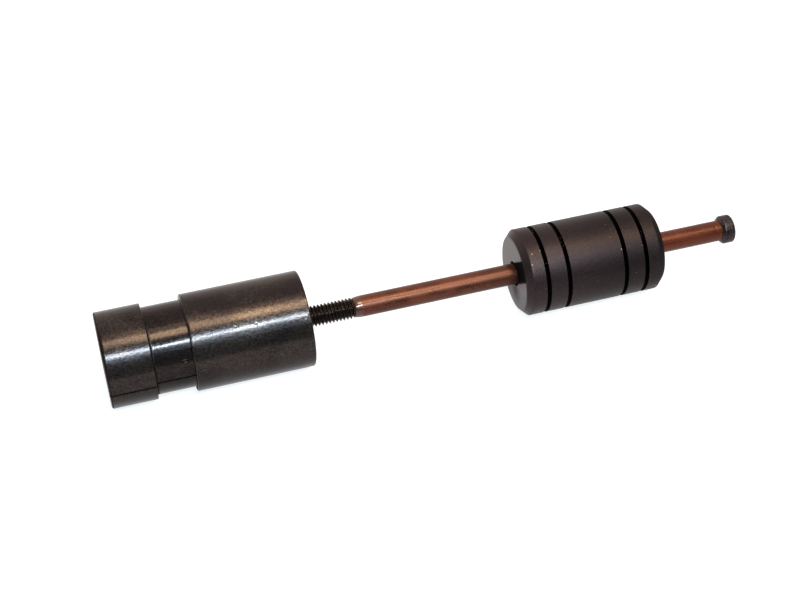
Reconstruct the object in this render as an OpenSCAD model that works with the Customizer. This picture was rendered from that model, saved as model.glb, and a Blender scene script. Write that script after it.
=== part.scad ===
// Injector puller: two collet jaws, a clamping sleeve screwed along a threaded rod, and a slide
// hammer that strikes the stop head on the rod's end.
// The tool lies along X. The origin is the centre of the jaw mouth and +X runs to the stop head.

/* [Jaws] */
// Diameter of the bore that grips the injector
grip_d = 28; // [22:0.1:45]
// Length of the gripping lip along the tool
lip_len = 6; // [3:0.1:15]
// How far the lip hooks inwards from the cavity wall
hook_depth = 2; // [0.5:0.1:5]
// Length from the lip to the inner rib
cavity_len = 32.4; // [15:0.1:60]
// Thickness of the rib in front of the anchor flange
rib_t = 5.5; // [3:0.1:12]
// Thickness of the wall behind the anchor flange
rear_wall_t = 6.3; // [3:0.1:12]
// Wall of the barrel round the cavity
jaw_wall = 3.05; // [1.5:0.05:8]
// Height of the collar's shoulder above the barrel
collar_step = 1.9; // [0.5:0.1:5]
// Length of the collar
collar_len = 19.9; // [8:0.1:30]
// Width of the saw cut between the two jaws
slit_w = 0.45; // [0.2:0.05:2]
// Length of the tapered lead at the barrel's rear end
lead_len = 2; // [0.5:0.1:5]
// How much the lead draws in at its end
lead_drop = 0.6; // [0.1:0.05:1.5]

/* [Clamping sleeve] */
// Wall of the sleeve round the barrel
sleeve_wall = 2.12; // [1.4:0.01:6]
// Length of the sleeve
sleeve_len = 51.7; // [48:0.1:80]
// Thickness of the tapped end wall
end_wall_t = 12; // [6:0.1:15]
// Gap between the collar and the sleeve as it is set here
sleeve_setback = 17; // [12:0.1:20]

/* [Rod] */
// Diameter of the rod's plain shank
rod_d = 9.525; // [8:0.005:10.5]
// Length of thread that shows behind the sleeve
thread_show = 20.4; // [5:0.1:50]
// Length of the rounded neck between thread and shank
neck_len = 3.7; // [1:0.1:8]
// Diameter of the neck where the thread ends
neck_d = 8.3; // [6.5:0.05:9]
// Length of the plain shank
shank_len = 171.2; // [140:0.1:400]
// Diameter of the spigot that carries the stop head
spigot_d = 6.35; // [4:0.05:7.5]

/* [Anchor flange] */
// Diameter of the flange that the jaws close round
flange_d = 24.4; // [20:0.1:32]
// Thickness of the flange
flange_t = 6; // [3:0.1:10]
// Diameter of the hub in front of the flange
hub_d = 16; // [13:0.1:20]
// Length of the hub
hub_len = 5; // [4:0.1:6]
// Diameter of the spring pin through hub and rod
pin_d = 2.5; // [1.5:0.1:3.5]
// Bore of the spring pin
pin_bore_d = 1.3; // [0.5:0.1:1.4]
// Width of the spring pin's slot
pin_slot_w = 0.5; // [0.2:0.05:1]

/* [Slide hammer] */
// Diameter of the hammer
hammer_d = 39.2; // [34:0.1:60]
// Length of the hammer
hammer_len = 65.3; // [52:0.1:80]
// Size of the chamfers at both ends of the hammer
hammer_chamfer = 2.9; // [0.5:0.1:4]
// Distance from the hammer's middle to each inner grip groove
groove_inner = 13.3; // [5:0.1:18]
// Distance from the hammer's middle to each outer grip groove
groove_outer = 23; // [18:0.1:26]
// Width of a grip groove
groove_w = 2; // [1:0.1:4]
// Depth of a grip groove
groove_depth = 0.7; // [0.3:0.05:3]
// Distance from the start of the shank to the hammer as it lies here
hammer_rest = 72.3; // [1:0.1:100]

/* [Stop head] */
// Diameter of the stop head
head_d = 12.9; // [11.5:0.1:25]
// Length of the stop head
head_len = 5.9; // [4:0.1:20]
// Chamfer on the side that the hammer strikes
head_front_chamfer = 1.2; // [0.2:0.05:1.5]
// Chamfer on the outer end
head_end_chamfer = 0.6; // [0.2:0.05:1.5]

/* [Edges and clearances] */
// Edge break on the collar and on the sleeve's open end
edge_break = 0.4; // [0.1:0.05:0.6]
// Edge break on the sleeve's closed end
sleeve_end_break = 0.8; // [0.2:0.05:1.5]
// Radial clearance between barrel and sleeve
sleeve_clear = 0.08; // [0.02:0.01:0.3]
// Radial clearance between rod and hammer
hammer_clear = 0.09; // [0.02:0.01:0.3]
// How far the thread's crests lie below the shank, on the radius
crest_drop = 0.05; // [0:0.01:0.2]
// Radial clearance between the thread's crests and the tapped wall
thread_clear = 0.06; // [0.02:0.01:0.3]
// Radial clearance round the rod in the jaws' rear wall
rod_clear = 0.5; // [0.1:0.05:2]
// Radial clearance round the anchor flange and its hub
flange_clear = 0.4; // [0.1:0.05:1]
// Play of the anchor flange along the tool, on each side
flange_play = 0.15; // [0.05:0.01:0.5]
// Radial gap in the fixed seats of flange, pin and head
seat_gap = 0.02; // [0.01:0.005:0.05]

/* [Hidden] */
// Countersink at both ends of the tapped hole
tap_sink = 1.2;
// Chamfer at the mouths of the hammer's bore
bore_chamfer = 0.8;
// Chamfer on the thread's inner end and on the spigot's end
rod_end_chamfer = 0.5;
// Fillet at the blind ends of the jaw cavity and of the sleeve's bore
corner_r = 1;
// Chamfer on the ends of the spring pin
pin_chamfer = 0.25;
// How far the pin's ends stay below the hub's surface
pin_recess = 0.4;
// How far a cutting shape runs past the face that it cuts
overrun = 5;

thread_r = rod_d / 2 - crest_drop;
cavity_d = grip_d + 2 * hook_depth;
barrel_d = cavity_d + 2 * jaw_wall;
collar_d = barrel_d + 2 * collar_step;
sleeve_bore_d = barrel_d + 2 * sleeve_clear;
sleeve_d = sleeve_bore_d + 2 * sleeve_wall;
tap_r = thread_r + thread_clear;

rib_x = lip_len + cavity_len;
slot_x = rib_x + rib_t;
rear_wall_x = slot_x + flange_t + 2 * flange_play;
jaw_len = rear_wall_x + rear_wall_t;
flange_x = slot_x + flange_play;
rod_x = flange_x - hub_len;

sleeve_x = collar_len + sleeve_setback;
sleeve_end_x = sleeve_x + sleeve_len;
bore_end_x = sleeve_end_x - end_wall_t;
thread_end_x = sleeve_end_x + thread_show;
shank_x = thread_end_x + neck_len;
head_x = shank_x + shank_len;
head_end_x = head_x + head_len;
hammer_x = shank_x + hammer_rest;
hammer_mid_x = hammer_x + hammer_len / 2;

round_fn = 96;
small_fn = 48;
arc_steps = 8;

// A solid turned about the tool's axis, from an outline of [radius, place along X] points
module turned(outline) {
    rotate([0, 90, 0])
        rotate_extrude($fn = round_fn)
            polygon(outline);
}

// Points of a quarter-round fillet between a wall of radius r and a face at place x.
// The face closes the hollow on its +X side.
function hollow_fillet(r, x, size) =
    [for (i = [0 : arc_steps])
        let (a = 90 * i / arc_steps)
        [r - size + size * sin(a), x - size + size * cos(a)]];

// Points of the rounded shoulder that rises from the neck to the shank
function shoulder_arc(r_low, r_high, x, run) =
    [for (i = [0 : arc_steps])
        let (a = 90 * i / arc_steps)
        [r_low + (r_high - r_low) * sin(a), x + run * (1 - cos(a))]];

// Both jaws in one piece, before the saw cut
module jaw_blank() {
    turned(concat(
        [[grip_d / 2, 0],
         [collar_d / 2 - edge_break, 0],
         [collar_d / 2, edge_break],
         [collar_d / 2, collar_len - edge_break],
         [collar_d / 2 - edge_break, collar_len],
         [barrel_d / 2, collar_len],
         [barrel_d / 2, jaw_len - lead_len],
         [barrel_d / 2 - lead_drop, jaw_len],
         [rod_d / 2 + rod_clear, jaw_len],
         [rod_d / 2 + rod_clear, rear_wall_x],
         [flange_d / 2 + flange_clear, rear_wall_x],
         [flange_d / 2 + flange_clear, slot_x],
         [hub_d / 2 + flange_clear, slot_x],
         [hub_d / 2 + flange_clear, rib_x]],
        hollow_fillet(cavity_d / 2, rib_x, corner_r),
        [[cavity_d / 2, lip_len],
         [grip_d / 2, lip_len]]));
}

// One jaw: the blank without the other half and without the saw cut's width.
// side is 1 for the jaw above the cut and -1 for the one below it.
module jaw(side) {
    reach = collar_d / 2 + overrun;
    difference() {
        jaw_blank();
        translate([-overrun, -reach, side > 0 ? -reach : -slit_w / 2])
            cube([jaw_len + 2 * overrun, 2 * reach, reach + slit_w / 2]);
    }
}

module jaw_upper() {
    color([0.24, 0.20, 0.17])
        jaw(1);
}

module jaw_lower() {
    color([0.20, 0.18, 0.18])
        jaw(-1);
}

// The sleeve slides over the barrel, and its end wall is the nut that the rod turns in
module clamp_sleeve() {
    color([0.23, 0.19, 0.17])
        turned(concat(
            [[sleeve_bore_d / 2 + edge_break, sleeve_x],
             [sleeve_d / 2 - edge_break, sleeve_x],
             [sleeve_d / 2, sleeve_x + edge_break],
             [sleeve_d / 2, sleeve_end_x - sleeve_end_break],
             [sleeve_d / 2 - sleeve_end_break, sleeve_end_x],
             [tap_r + tap_sink, sleeve_end_x],
             [tap_r, sleeve_end_x - tap_sink],
             [tap_r, bore_end_x + tap_sink],
             [tap_r + tap_sink, bore_end_x]],
            hollow_fillet(sleeve_bore_d / 2, bore_end_x, corner_r),
            [[sleeve_bore_d / 2, sleeve_x + edge_break]]));
}

// A straight hole or shape across the tool at the spring pin's place
module pin_rod(d, len) {
    translate([rod_x + hub_len / 2, 0, -len / 2])
        cylinder(h = len, d = d, $fn = small_fn);
}

module puller_rod() {
    color([0.42, 0.22, 0.13])
        difference() {
            turned(concat(
                [[0, rod_x],
                 [thread_r - rod_end_chamfer, rod_x],
                 [thread_r, rod_x + rod_end_chamfer],
                 [thread_r, thread_end_x]],
                shoulder_arc(neck_d / 2, rod_d / 2, thread_end_x, neck_len),
                [[rod_d / 2, head_x],
                 [spigot_d / 2, head_x],
                 [spigot_d / 2, head_end_x - rod_end_chamfer],
                 [spigot_d / 2 - rod_end_chamfer, head_end_x],
                 [0, head_end_x]]));
            pin_rod(pin_d + 2 * seat_gap, hub_d + 2 * overrun);
        }
}

// The flange turns freely in the jaws' slot and takes the hammer's pull into the jaws
module anchor_flange() {
    color([0.30, 0.30, 0.31])
        difference() {
            turned([
                [thread_r + seat_gap, rod_x],
                [hub_d / 2 - edge_break, rod_x],
                [hub_d / 2, rod_x + edge_break],
                [hub_d / 2, flange_x],
                [flange_d / 2 - edge_break, flange_x],
                [flange_d / 2, flange_x + edge_break],
                [flange_d / 2, flange_x + flange_t - edge_break],
                [flange_d / 2 - edge_break, flange_x + flange_t],
                [thread_r + seat_gap, flange_x + flange_t]]);
            pin_rod(pin_d + 2 * seat_gap, hub_d + 2 * overrun);
        }
}

// A slotted spring pin that keeps the flange from unscrewing
module flange_pin() {
    pin_len = hub_d - 2 * pin_recess;
    pin_x = rod_x + hub_len / 2;
    color([0.55, 0.55, 0.56])
        difference() {
            translate([pin_x, 0, 0])
                rotate_extrude($fn = small_fn)
                    polygon([
                        [pin_bore_d / 2, -pin_len / 2],
                        [pin_d / 2 - pin_chamfer, -pin_len / 2],
                        [pin_d / 2, -pin_len / 2 + pin_chamfer],
                        [pin_d / 2, pin_len / 2 - pin_chamfer],
                        [pin_d / 2 - pin_chamfer, pin_len / 2],
                        [pin_bore_d / 2, pin_len / 2]]);
            translate([pin_x, -pin_slot_w / 2, -pin_len / 2 - overrun])
                cube([pin_d, pin_slot_w, pin_len + 2 * overrun]);
        }
}

module stop_head() {
    seat_r = spigot_d / 2 + seat_gap;
    color([0.19, 0.16, 0.16])
        turned([
            [seat_r, head_x],
            [head_d / 2 - head_front_chamfer, head_x],
            [head_d / 2, head_x + head_front_chamfer],
            [head_d / 2, head_end_x - head_end_chamfer],
            [head_d / 2 - head_end_chamfer, head_end_x],
            [seat_r, head_end_x]]);
}

// A grip groove turned into the hammer, at a distance from its middle
module grip_groove(offset_x) {
    floor_r = hammer_d / 2 - groove_depth;
    wall_x = hammer_mid_x + offset_x - groove_w / 2;
    turned([
        [floor_r, wall_x],
        [hammer_d / 2 + overrun, wall_x],
        [hammer_d / 2 + overrun, wall_x + groove_w],
        [floor_r, wall_x + groove_w]]);
}

module slide_hammer() {
    bore_r = rod_d / 2 + hammer_clear;
    hammer_end_x = hammer_x + hammer_len;
    color([0.20, 0.16, 0.15])
        difference() {
            turned([
                [bore_r + bore_chamfer, hammer_x],
                [hammer_d / 2 - hammer_chamfer, hammer_x],
                [hammer_d / 2, hammer_x + hammer_chamfer],
                [hammer_d / 2, hammer_end_x - hammer_chamfer],
                [hammer_d / 2 - hammer_chamfer, hammer_end_x],
                [bore_r + bore_chamfer, hammer_end_x],
                [bore_r, hammer_end_x - bore_chamfer],
                [bore_r, hammer_x + bore_chamfer]]);
            for (offset_x = [-groove_outer, -groove_inner, groove_inner, groove_outer])
                grip_groove(offset_x);
        }
}

jaw_upper();
jaw_lower();
clamp_sleeve();
puller_rod();
anchor_flange();
flange_pin();
stop_head();
slide_hammer();
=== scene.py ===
# %% [markdown]
# # An injector puller in oxide-blacked steel
# The tool is a row of turned steel pieces on one axis: two half-round jaws, the sleeve that holds
# them shut, a threaded rod, a slide hammer and a small stop head. Almost everything is a lathe job,
# so the lesson is about turning outlines into solids, cutting a real thread, and giving dark steel
# the oil, rings, rubbed edges and small bruises that make it look used.

# %% Load the fixed frame
import math
import random

import bmesh
import bpy
from mathutils import Matrix, Vector, noise


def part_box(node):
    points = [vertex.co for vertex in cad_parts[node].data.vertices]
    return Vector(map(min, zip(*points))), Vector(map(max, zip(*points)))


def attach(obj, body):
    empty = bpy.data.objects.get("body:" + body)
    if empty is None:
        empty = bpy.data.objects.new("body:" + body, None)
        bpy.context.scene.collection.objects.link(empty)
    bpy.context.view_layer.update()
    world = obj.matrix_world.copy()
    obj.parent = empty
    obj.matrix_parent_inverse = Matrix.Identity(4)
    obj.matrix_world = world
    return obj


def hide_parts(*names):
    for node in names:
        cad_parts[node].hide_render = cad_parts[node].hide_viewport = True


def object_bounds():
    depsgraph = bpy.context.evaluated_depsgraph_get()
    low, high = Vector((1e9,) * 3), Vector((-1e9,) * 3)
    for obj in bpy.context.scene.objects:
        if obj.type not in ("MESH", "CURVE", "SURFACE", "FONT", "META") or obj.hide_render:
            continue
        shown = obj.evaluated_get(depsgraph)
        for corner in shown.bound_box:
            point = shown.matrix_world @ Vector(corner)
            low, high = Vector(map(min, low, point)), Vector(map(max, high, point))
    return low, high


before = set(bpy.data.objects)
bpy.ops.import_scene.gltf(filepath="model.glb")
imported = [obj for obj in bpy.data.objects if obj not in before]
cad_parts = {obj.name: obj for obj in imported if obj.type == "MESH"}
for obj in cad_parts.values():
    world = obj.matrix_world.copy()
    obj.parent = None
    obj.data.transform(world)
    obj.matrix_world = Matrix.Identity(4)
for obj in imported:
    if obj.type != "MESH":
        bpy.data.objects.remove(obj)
cad_low, cad_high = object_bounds()

# %% [markdown]
# ## Sizes
# The outside sizes are read from the frame, so a piece can't drift away from the model that carries
# it. What a box can't tell, such as a bore or an edge break, has a name and a size in millimetres.

# %% Outside sizes from the frame
MM = 0.001
MICROMETRE = 1e-6


def span(node):
    """Where a turned node starts and ends along X, and its largest radius."""
    low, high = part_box(node)
    return low.x, high.x, high.y


mouth_x, jaw_end_x, collar_r = span("jaw_upper")
sleeve_x, sleeve_end_x, sleeve_r = span("clamp_sleeve")
rod_x, rod_end_x, rod_r = span("puller_rod")
flange_low_x, flange_high_x, flange_r = span("anchor_flange")
head_x, head_end_x, head_r = span("stop_head")
hammer_x, hammer_end_x, hammer_r = span("slide_hammer")
print(f"overall length {(rod_end_x - mouth_x) / MM:.1f} mm, sleeve radius {sleeve_r / MM:.2f} mm")

# %% Inner sizes of the jaws and the sleeve
collar_len = 19.9 * MM
barrel_r = 19.05 * MM
grip_r = 14 * MM
cavity_r = 16 * MM
lip_len = 6 * MM
rib_x = 38.4 * MM
slot_x = 43.9 * MM
rear_wall_x = 50.2 * MM
hub_hole_r = 8.4 * MM
flange_hole_r = 12.6 * MM
rod_hole_r = 5.26 * MM
lead_len = 2 * MM
lead_drop = 0.6 * MM
slit_w = 0.6 * MM
sleeve_bore_r = 19.13 * MM
end_wall = 12 * MM
tap_r = 4.7725 * MM
tap_sink = 1.2 * MM
fillet_r = 1 * MM
print(f"barrel radius {barrel_r / MM:.2f} mm in a bore of {sleeve_bore_r / MM:.2f} mm")

# %% [markdown]
# ## The lathe
# A turned piece is an outline carried once round the axis. The operator for that is spin. It
# takes a wire of a few vertices. The wire's corners are bevelled first, as a deburring tool leaves
# them, and those points are marked in a vertex layer, so that the material can later rub the oxide
# off just there. Long straight runs get extra points, which keep each mark near its corner and give
# bruises something to dent.

# %% The outline of a turned piece
AXIS = Vector((1, 0, 0))
FULL_TURN = 2 * math.pi
ROUND_STEPS = 144
WORN = "worn_edge"
BRUISE = "bruise"
# The grease layer marks real grease, and also painted shade in gaps, holes and corners.
GREASE_AND_SHADE = "grease_and_shade"
MERGE = 0.002 * MM
ON_PLANE = 0.0005 * MM


def marked_bmesh():
    """An empty bmesh with the vertex layers that the materials read."""
    bm = bmesh.new()
    for name in (WORN, BRUISE, GREASE_AND_SHADE):
        bm.verts.layers.float.new(name)
    return bm


def draw_wire(bm, points, closed=False):
    """A wire above the axis from (place along X, radius) points."""
    verts = [bm.verts.new((point[0], 0, point[1])) for point in points]
    following = verts[1:] + (verts[:1] if closed else [])
    for a, b in zip(verts, following):
        bm.edges.new((a, b))
    return verts


def outline_wire(points, corner):
    """A closed wire with softened corners. A third number in a point is its own corner size."""
    bm = marked_bmesh()
    worn = bm.verts.layers.float[WORN]
    corners = draw_wire(bm, points, closed=True)
    sizes = {}
    for vert, point in zip(corners, points):
        sizes.setdefault(point[2] if len(point) > 2 else corner, []).append(vert)
    for size, verts in sizes.items():
        if size > 0:
            made = bmesh.ops.bevel(bm, geom=verts, offset=size, segments=2, profile=0.5,
                                   affect="VERTICES", clamp_overlap=True, material=-1)
            for vert in made["verts"]:
                vert[worn] = 1.0
    return bm


def divide_runs(bm, spacing):
    """Adds points along the long straight runs of a wire."""
    worn = bm.verts.layers.float[WORN]
    for edge in bm.edges[:]:
        cuts = int(edge.calc_length() / spacing)
        if cuts > 0:
            made = bmesh.ops.subdivide_edges(bm, edges=[edge], cuts=cuts)
            for item in made["geom_inner"]:
                if isinstance(item, bmesh.types.BMVert):
                    item[worn] = 0.0


# %% Spin, and the finished object
def turn(bm, steps=ROUND_STEPS):
    """Carries the wire once round the axis and closes the seam."""
    bmesh.ops.spin(bm, geom=bm.verts[:] + bm.edges[:], cent=(0, 0, 0), axis=AXIS, angle=FULL_TURN,
                   steps=steps, use_merge=True, use_normal_flip=False, use_duplicate=False)
    bmesh.ops.remove_doubles(bm, verts=bm.verts[:], dist=MERGE)
    bmesh.ops.recalc_face_normals(bm, faces=bm.faces[:])


def turned(points, corner=0.2 * MM, spacing=1.0 * MM, steps=ROUND_STEPS):
    bm = outline_wire(points, corner)
    divide_runs(bm, spacing)
    turn(bm, steps)
    return bm


def finish_piece(bm, name, body, node, sharp_degrees=34):
    """Makes the object, and lets it ride on its body in place of the CAD node."""
    open_edges = sum(1 for edge in bm.edges if not edge.is_manifold)
    for face in bm.faces:
        face.smooth = True
    mesh = bpy.data.meshes.new(name)
    bm.to_mesh(mesh)
    bm.free()
    mesh.set_sharp_from_angle(angle=math.radians(sharp_degrees))
    piece = bpy.data.objects.new(name, mesh)
    bpy.context.scene.collection.objects.link(piece)
    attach(piece, body)
    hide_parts(node)
    mesh.calc_loop_triangles()
    print(f"{name}: {len(mesh.loop_triangles)} triangles, {open_edges} open edges")
    return piece


# %% [markdown]
# ## Bruises
# A slide hammer gets dropped and knocked, and each knock leaves a shallow dent with bright steel in
# it. A dent is made in the mesh: the faces round it are subdivided, and the vertices inside its
# radius are pushed in along their normals. A layer keeps how deep each one went, for the material.

# %% Denting a turned piece
DENT_CUTS = 3
DENT_DEPTH_SHARE = 0.09
DENT_MARGIN = 0.9 * MM
SHORT_EDGE = 0.35 * MM
FACE_TOLERANCE = 0.02 * MM
EDGE_WIDTH = 0.1 * MM


def on_surface(x, degrees, radius):
    """A point on a cylinder: the angle starts at the front, -Y, and rises over the top."""
    angle = math.radians(degrees)
    return Vector((x, -radius * math.cos(angle), radius * math.sin(angle)))


def dent(bm, x, degrees, radius, size):
    """Pushes one dent of a given radius into the surface."""
    centre = on_surface(x, degrees, radius)
    reach = size + DENT_MARGIN
    near = [face for face in bm.faces if (face.calc_center_median() - centre).length < reach]
    edges = list({edge for face in near for edge in face.edges
                  if edge.calc_length() > SHORT_EDGE})
    if edges:
        bmesh.ops.subdivide_edges(bm, edges=edges, cuts=DENT_CUTS, use_grid_fill=True)
    bm.normal_update()
    bruise = bm.verts.layers.float[BRUISE]
    moves = []
    for vert in bm.verts:
        away = (vert.co - centre).length / size
        if away < 1:
            fall = (1 - away * away) ** 2
            moves.append((vert, vert.normal * (-size * DENT_DEPTH_SHARE * fall)))
            vert[bruise] = max(vert[bruise], fall)
    for vert, move in moves:
        vert.co += move


def dent_all(bm, dents, radius):
    for x, degrees, size in dents:
        dent(bm, x * MM, degrees, radius, size * MM)
    print(f"{len(dents)} dents")


# %% [markdown]
# ## Clamping sleeve
# A length of thick tube with a wall left at one end, bored to run on the jaws and tapped for the
# rod. It is one outline: out along the wall, back through the tapped hole and the bore. The corner
# at the bottom of the bore keeps the round of the boring tool. The inner part of the narrow front
# face is darkened on the near side, a painted shade where the sleeve meets the jaws.

# %% Turn the sleeve
sleeve_break = 0.3 * MM
sleeve_end_break = 0.4 * MM
bore_end_x = sleeve_end_x - end_wall
sleeve_bm = turned([
    (sleeve_x, sleeve_bore_r + sleeve_break), (sleeve_x, sleeve_r - sleeve_break),
    (sleeve_x + sleeve_break, sleeve_r), (sleeve_end_x - sleeve_end_break, sleeve_r),
    (sleeve_end_x, sleeve_r - sleeve_end_break), (sleeve_end_x, tap_r + tap_sink),
    (sleeve_end_x - tap_sink, tap_r), (bore_end_x + tap_sink, tap_r),
    (bore_end_x, tap_r + tap_sink), (bore_end_x, sleeve_bore_r, fillet_r),
    (sleeve_x + sleeve_break, sleeve_bore_r)], corner=0.12 * MM)
# A painted shade: the near half of the front face's inner part is darkened, where the sleeve meets
# the jaws.
sleeve_painted_shade = sleeve_bm.verts.layers.float[GREASE_AND_SHADE]
sleeve_shade_r = sleeve_r - 0.6 * MM
for vert in sleeve_bm.verts:
    radius = math.hypot(vert.co.y, vert.co.z)
    if vert.co.x < sleeve_x + FACE_TOLERANCE and radius < sleeve_shade_r and vert.co.y < 0:
        vert[sleeve_painted_shade] = 1.0
dent_all(sleeve_bm, [(56.5, 54.6, 0.5), (65.2, 53.3, 0.8), (71.4, 65, 0.6), (39.3, 61, 0.5),
                     (86.2, 47, 0.6), (87.9, 67, 0.7), (76.7, 32.8, 0.4), (70.4, 17.7, 0.4),
                     (74.6, 77.6, 0.5), (48, 150, 0.8), (62, 205, 0.6), (80, 240, 0.9),
                     (37.2, 120, 0.8), (55, 290, 0.6), (68, 330, 0.7)], sleeve_r)
sleeve = finish_piece(sleeve_bm, "sleeve_shell", "sleeve", "clamp_sleeve")

# %% [markdown]
# ## Jaws
# The two jaws are made as one piece and then sawn apart along the axis, so they always match. The
# mesh follows that: the whole outline is turned, bisect_plane takes away all but one half, and the
# two cut faces are filled. The saw's width stays open between the halves, and its chatter moves the
# rim up and down a little. The saw cut and the mouth's chamfer are darkened as painted shade, the
# corner behind the collar is darkened as painted shade and dirt, and two scratches on the upper jaw
# are rows of small dents.

# %% Turn the blank and saw it
mouth_break = 0.7 * MM
jaw_break = 0.12 * MM
chatter_len = MM / 0.9
chatter_height = 0.25 * MM


def jaw_blank():
    return turned([
        (mouth_x, grip_r, 0.5 * MM), (mouth_x, collar_r - mouth_break),
        (mouth_x + mouth_break, collar_r, 0.08 * MM), (collar_len - jaw_break, collar_r, 0),
        (collar_len, collar_r - jaw_break, 0), (collar_len, barrel_r, 0.25 * MM),
        (jaw_end_x - lead_len, barrel_r), (jaw_end_x, barrel_r - lead_drop),
        (jaw_end_x, rod_hole_r), (rear_wall_x, rod_hole_r), (rear_wall_x, flange_hole_r),
        (slot_x, flange_hole_r), (slot_x, hub_hole_r), (rib_x, hub_hole_r),
        (rib_x, cavity_r, fillet_r), (lip_len, cavity_r), (lip_len, grip_r, 0.3 * MM)],
        corner=0.15 * MM)


def saw(bm, side):
    """Keeps the half of a turned blank on one side of the cut, and closes the cut."""
    plane_z = side * slit_w / 2
    bmesh.ops.bisect_plane(bm, geom=bm.verts[:] + bm.edges[:] + bm.faces[:], dist=ON_PLANE,
                           plane_co=(0, 0, plane_z), plane_no=(0, 0, side), clear_inner=True)
    rim = [edge for edge in bm.edges if edge.is_boundary]
    grease_and_shade = bm.verts.layers.float[GREASE_AND_SHADE]
    for vert in {vert for edge in rim for vert in edge.verts}:
        chatter = noise.noise(Vector((vert.co.x / chatter_len, side * 7, 0)))
        vert.co.z += side * max(0, chatter) * chatter_height
        # The cut's rims are darkened halfway, a painted shade in the saw cut.
        vert[grease_and_shade] = 0.5
    bmesh.ops.holes_fill(bm, edges=rim, sides=0)
    caps = [face for face in bm.faces if len(face.verts) > 8]
    bmesh.ops.triangulate(bm, faces=caps)
    bmesh.ops.recalc_face_normals(bm, faces=bm.faces[:])


# %% Both jaws
jaw_dents = {
    1: [(12, 128, 0.6), (0.3, 95, 0.4), (6, 150, 0.5), (28, 145, 0.4)],
    -1: [(9, 215, 0.6), (0.2, 250, 0.6), (15, 285, 0.5)]}
corner_dirt_and_shade = 0.45 * MM
mouth_band = 0.2 * MM
mouth_wear, mouth_painted_shade = 0.4, 0.8
nick_strokes = [(33.0, 23.3), (32.4, 26.6)]
nicks_a_stroke = 7
nick_step, nick_turn, nick_size = 0.33, 0.1, 0.32
jaws = {}
for side, name in ((1, "upper"), (-1, "lower")):
    blank = jaw_blank()
    saw(blank, side)
    grease_and_shade = blank.verts.layers.float[GREASE_AND_SHADE]
    bruise = blank.verts.layers.float[BRUISE]
    for vert in blank.verts:
        radius = math.hypot(vert.co.y, vert.co.z)
        # The mouth's rim is worn bare, and the chamfer behind it is darkened into a dark line, a
        # painted shade.
        if vert.co.x < mouth_band and radius > collar_r - mouth_break - EDGE_WIDTH:
            vert[bruise] = mouth_wear
        elif vert.co.x < mouth_break + FACE_TOLERANCE and radius > collar_r - mouth_break:
            vert[grease_and_shade] = mouth_painted_shade
        # Behind the collar the barrel is darkened, most in front and less towards the top: painted
        # shade, with some dirt.
        past_collar = (vert.co.x - collar_len) / corner_dirt_and_shade
        in_front = min(1, max(0, 0.5 - 0.9 * vert.co.y / barrel_r))
        if 0 <= past_collar < 1 and radius > barrel_r - EDGE_WIDTH:
            vert[grease_and_shade] = max(vert[grease_and_shade], in_front * (1 - past_collar ** 3))
    for x, degrees, size in jaw_dents[side]:
        radius = collar_r if x * MM < collar_len else barrel_r
        dent(blank, x * MM, degrees, radius, size * MM)
    if side == 1:
        for start_x, start_degrees in nick_strokes:
            for step in range(nicks_a_stroke):
                dent(blank, (start_x + nick_step * step) * MM, start_degrees + nick_turn * step,
                     barrel_r, nick_size * MM)
    jaws[name] = finish_piece(blank, f"jaw_{name}_half", "jaws", f"jaw_{name}")

# %% [markdown]
# ## Thread
# The rod's thread is cut with a pointed tool, at 16 turns to the inch. One pitch of its outline is
# carried once along a helix, which spin does when it is also given a step along the axis. Copies of
# that turn are moved on by one pitch each. They meet, so merging doubles closes the surface. Both
# ends are cut square by a plane.

# %% Sizes of the thread
pitch = 1.5875 * MM
crest_r = 4.7125 * MM
thread_depth = 0.6134 * pitch
root_r = crest_r - thread_depth
crest_flat = pitch / 8
flank_run = thread_depth * math.tan(math.radians(30))
root_flat = pitch - crest_flat - 2 * flank_run
thread_corner = 0.05 * MM
sleeve_travel = 20.4 * MM
run_out_len = 1.5 * MM
thread_end_x = sleeve_end_x + sleeve_travel + run_out_len
neck_len = 3.7 * MM
neck_r = 4.15 * MM
STEPS_A_TURN = 48
print(f"thread: root radius {root_r / MM:.2f} mm, root flat {root_flat / MM:.2f} mm")


# %% Carry one pitch along the helix
def one_pitch(start_x):
    """The open outline of one pitch, from the middle of one root to the middle of the next."""
    runs = (0, root_flat / 2, flank_run, crest_flat, flank_run, root_flat / 2)
    radii = (root_r, root_r, crest_r, crest_r, root_r, root_r)
    points, x = [], start_x
    for run, radius in zip(runs, radii):
        x += run
        points.append((x, radius))
    bm = marked_bmesh()
    worn = bm.verts.layers.float[WORN]
    verts = draw_wire(bm, points)
    crests = verts[2:4]
    for vert in crests:
        vert[worn] = 1.0
    bmesh.ops.bevel(bm, geom=verts[1:5], offset=thread_corner, segments=1, profile=0.5,
                    affect="VERTICES", clamp_overlap=True, material=-1)
    return bm


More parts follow.
